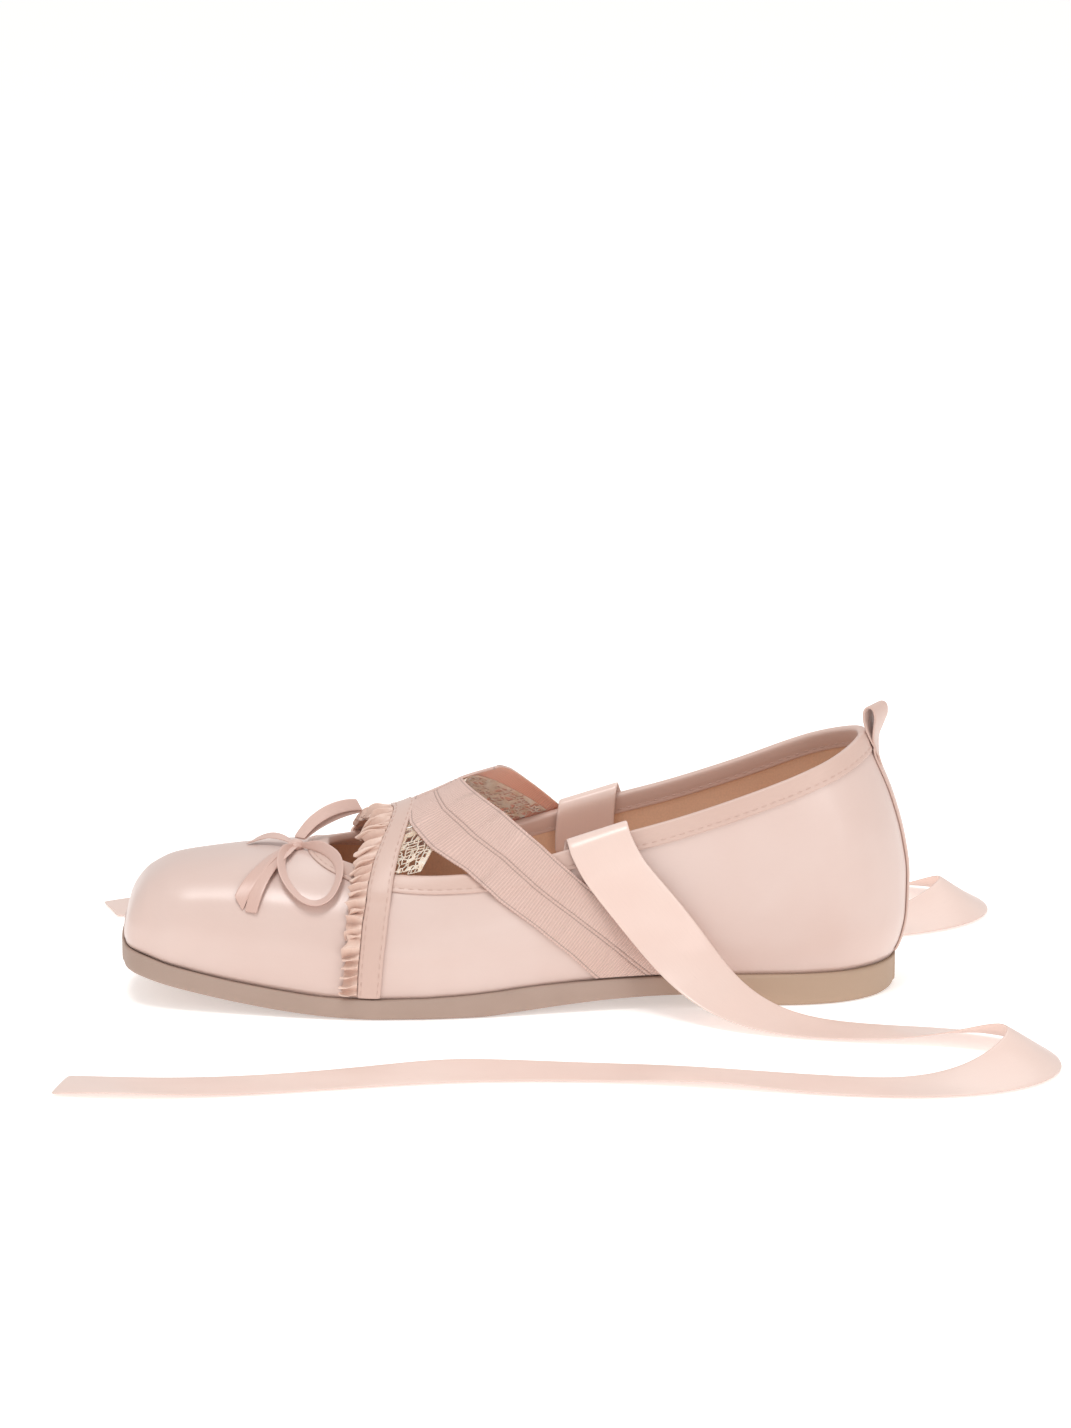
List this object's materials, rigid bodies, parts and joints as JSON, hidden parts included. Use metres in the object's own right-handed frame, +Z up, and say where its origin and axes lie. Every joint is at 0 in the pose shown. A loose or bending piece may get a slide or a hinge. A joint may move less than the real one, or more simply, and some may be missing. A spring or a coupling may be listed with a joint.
{
  "type": "square toe ballet flat",
  "caption": "Left satin ballet flat with a square toe, low rubber heel, elastic instep straps, pleated ruffle, toe bow and ankle ribbons that lie on the floor.",
  "frame": {"origin": "middle of the heel's flat spot on the floor", "axes": "+X from the toe to the heel, -Y to the lateral side of this left shoe, +Z up"},
  "size_m": [0.307, 0.2615, 0.0931],
  "materials": {
    "sole_rubber": "matte moulded rubber, beige grey",
    "lining": "soft tan lining",
    "satin": "pale pink satin",
    "grosgrain": "ribbed elastic",
    "lace": "open lace with a selvedge",
    "ribbon": "glossy satin ribbon"
  },
  "bodies": {
    "root": {"outsole": "sole_rubber", "insole": "lining", "upper": "satin", "topline_binding": "satin", "instep_band": "satin", "instep_ruffle": "satin", "elastic_strap_lateral": "grosgrain", "elastic_strap_medial": "grosgrain", "lace_tape_lateral": "lace", "lace_tape_medial": "lace", "toe_bow": "ribbon", "heel_tape": "satin", "ankle_ribbon_lateral": "ribbon", "ankle_ribbon_medial": "ribbon"}
  },
  "joints": []
}
